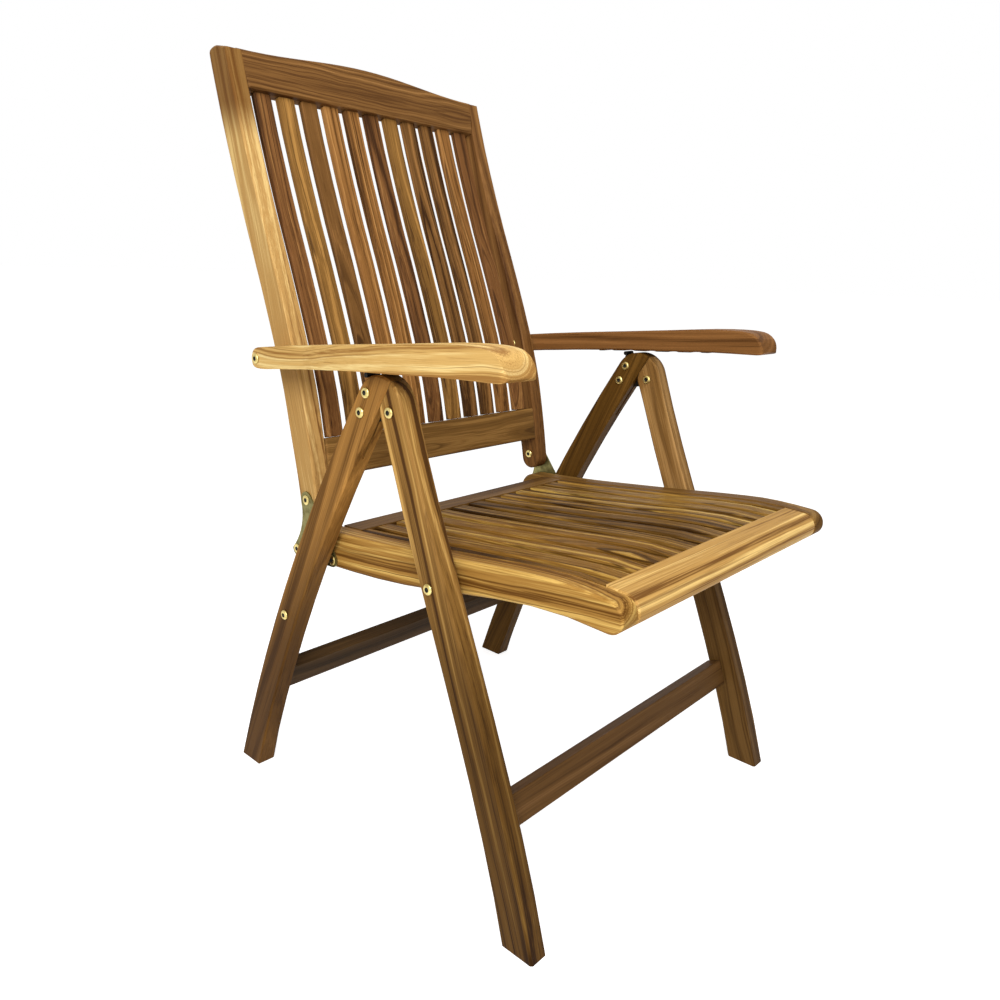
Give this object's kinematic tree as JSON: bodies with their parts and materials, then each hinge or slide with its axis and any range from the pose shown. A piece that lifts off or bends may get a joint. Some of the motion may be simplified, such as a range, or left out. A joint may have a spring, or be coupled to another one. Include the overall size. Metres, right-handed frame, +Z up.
{
  "type": "folding armchair",
  "caption": "Folding wooden armchair: slatted seat, tall slatted back that reclines, front and rear leg frames hinged at a round apex, arms notched underneath to hold the back",
  "frame": {"origin": "On the floor, at the middle of the chair's outer box seen from above", "axes": "X runs across the chair with +X at the sitter's left; -Y is the way the sitter faces; +Z is up"},
  "size_m": [0.622, 0.7568, 1.0689],
  "materials": {
    "teak": "oiled, satin, with visible grain",
    "brass_hardware": "semi-polished bolts and washers",
    "bracket_metal": "dull olive-yellow plated plate",
    "dark_steel": "dark satin"
  },
  "bodies": {
    "rear_legs": {"rear_leg_left": "teak", "rear_leg_right": "teak", "rear_stretcher": "teak", "hinge_plate_left": "dark_steel", "hinge_plate_right": "dark_steel", "link_bolt_left": "brass_hardware", "link_bolt_right": "brass_hardware"},
    "front_legs": {"front_leg_left": "teak", "front_leg_right": "teak", "front_stretcher": "teak", "leg_pivot_bolt_left": "brass_hardware", "leg_pivot_bolt_right": "brass_hardware", "seat_pivot_bolt_left": "brass_hardware", "seat_pivot_bolt_right": "brass_hardware"},
    "seat": {"seat_rail_left": "teak", "seat_rail_right": "teak", "seat_front_rail": "teak", "seat_rear_rail": "teak", "back_bracket_left": "bracket_metal", "back_bracket_right": "bracket_metal", "seat_edge_slat_left": "teak", "seat_edge_slat_right": "teak", "seat_slat_01": "teak", "seat_slat_02": "teak", "seat_slat_03": "teak", "seat_slat_04": "teak", "seat_slat_05": "teak", "seat_slat_06": "teak", "seat_slat_07": "teak", "seat_slat_08": "teak", "seat_slat_09": "teak", "seat_slat_10": "teak", "seat_slat_11": "teak"},
    "link_left": {"link_left": "dark_steel"},
    "link_right": {"link_right": "dark_steel"},
    "back_pivots": {"back_pivot_bolt_left": "brass_hardware", "back_pivot_bolt_right": "brass_hardware"},
    "back": {"back_stile_left": "teak", "back_stile_right": "teak", "back_top_rail": "teak", "back_bottom_rail": "teak", "back_slat_01": "teak", "back_slat_02": "teak", "back_slat_03": "teak", "back_slat_04": "teak", "back_slat_05": "teak", "back_slat_06": "teak", "back_slat_07": "teak", "back_slat_08": "teak", "back_slat_09": "teak", "back_slat_10": "teak", "back_slat_11": "teak"},
    "arm_washer_left": {"arm_washer_left": "brass_hardware"},
    "arm_bolt_left": {"arm_pivot_bolt_left": "brass_hardware"},
    "arm_left": {"arm_left": "teak", "arm_rack_left": "dark_steel"},
    "arm_washer_right": {"arm_washer_right": "brass_hardware"},
    "arm_bolt_right": {"arm_pivot_bolt_right": "brass_hardware"},
    "arm_right": {"arm_right": "teak", "arm_rack_right": "dark_steel"}
  },
  "joints": [
    {"name": "leg_fold", "type": "hinge", "parent": "rear_legs", "child": "front_legs", "pos_m": [0, -0.06287, 0.594], "axis": [1, 0, 0], "range_deg": [0, 46]},
    {"name": "seat_fold", "type": "hinge", "parent": "front_legs", "child": "seat", "pos_m": [0, -0.13456, 0.3964], "axis": [1, 0, 0], "range_deg": [-80.45, 0]},
    {"name": "back_fold", "type": "hinge", "parent": "seat", "child": "back_pivots", "pos_m": [0, 0.15163, 0.437], "axis": [1, 0, 0], "range_deg": [0, 84.68]},
    {"name": "back_recline", "type": "hinge", "parent": "back_pivots", "child": "back", "pos_m": [0, 0.15163, 0.437], "axis": [1, 0, 0], "range_deg": [-41, 0]},
    {"name": "link_swing_left", "type": "hinge", "parent": "rear_legs", "child": "link_left", "pos_m": [0.2617, 0.15964, 0.2722], "axis": [1, 0, 0], "range_deg": [-135.05, 0]},
    {"name": "arm_lift_left", "type": "hinge", "parent": "back", "child": "arm_washer_left", "pos_m": [0.2567, 0.20163, 0.633], "axis": [1, 0, 0], "range_deg": [-60, 0]},
    {"name": "arm_fold_left", "type": "hinge", "parent": "arm_washer_left", "child": "arm_bolt_left", "pos_m": [0.2663, 0.20163, 0.633], "axis": [1, 0, 0], "range_deg": [-100.32, 0]},
    {"name": "arm_follow_left", "type": "hinge", "parent": "arm_bolt_left", "child": "arm_left", "pos_m": [0.28, 0.20163, 0.633], "axis": [1, 0, 0], "range_deg": [0, 29.2]},
    {"name": "link_swing_right", "type": "hinge", "parent": "rear_legs", "child": "link_right", "pos_m": [-0.2617, 0.15964, 0.2722], "axis": [1, 0, 0], "range_deg": [-135.05, 0]},
    {"name": "arm_lift_right", "type": "hinge", "parent": "back", "child": "arm_washer_right", "pos_m": [-0.2567, 0.20163, 0.633], "axis": [1, 0, 0], "range_deg": [-60, 0]},
    {"name": "arm_fold_right", "type": "hinge", "parent": "arm_washer_right", "child": "arm_bolt_right", "pos_m": [-0.2663, 0.20163, 0.633], "axis": [1, 0, 0], "range_deg": [-100.32, 0]},
    {"name": "arm_follow_right", "type": "hinge", "parent": "arm_bolt_right", "child": "arm_right", "pos_m": [-0.28, 0.20163, 0.633], "axis": [1, 0, 0], "range_deg": [0, 29.2]}
  ],
  "couplings": [
    {"joint": "seat_fold", "follows": "leg_fold", "ratio": -1.738},
    {"joint": "back_fold", "follows": "leg_fold", "ratio": 1.83},
    {"joint": "link_swing_left", "follows": "leg_fold", "ratio": -2.925},
    {"joint": "arm_follow_left", "follows": "back_recline", "ratio": -0.7},
    {"joint": "arm_fold_left", "follows": "leg_fold", "ratio": -2.17},
    {"joint": "link_swing_right", "follows": "leg_fold", "ratio": -2.925},
    {"joint": "arm_follow_right", "follows": "back_recline", "ratio": -0.7},
    {"joint": "arm_fold_right", "follows": "leg_fold", "ratio": -2.17}
  ]
}
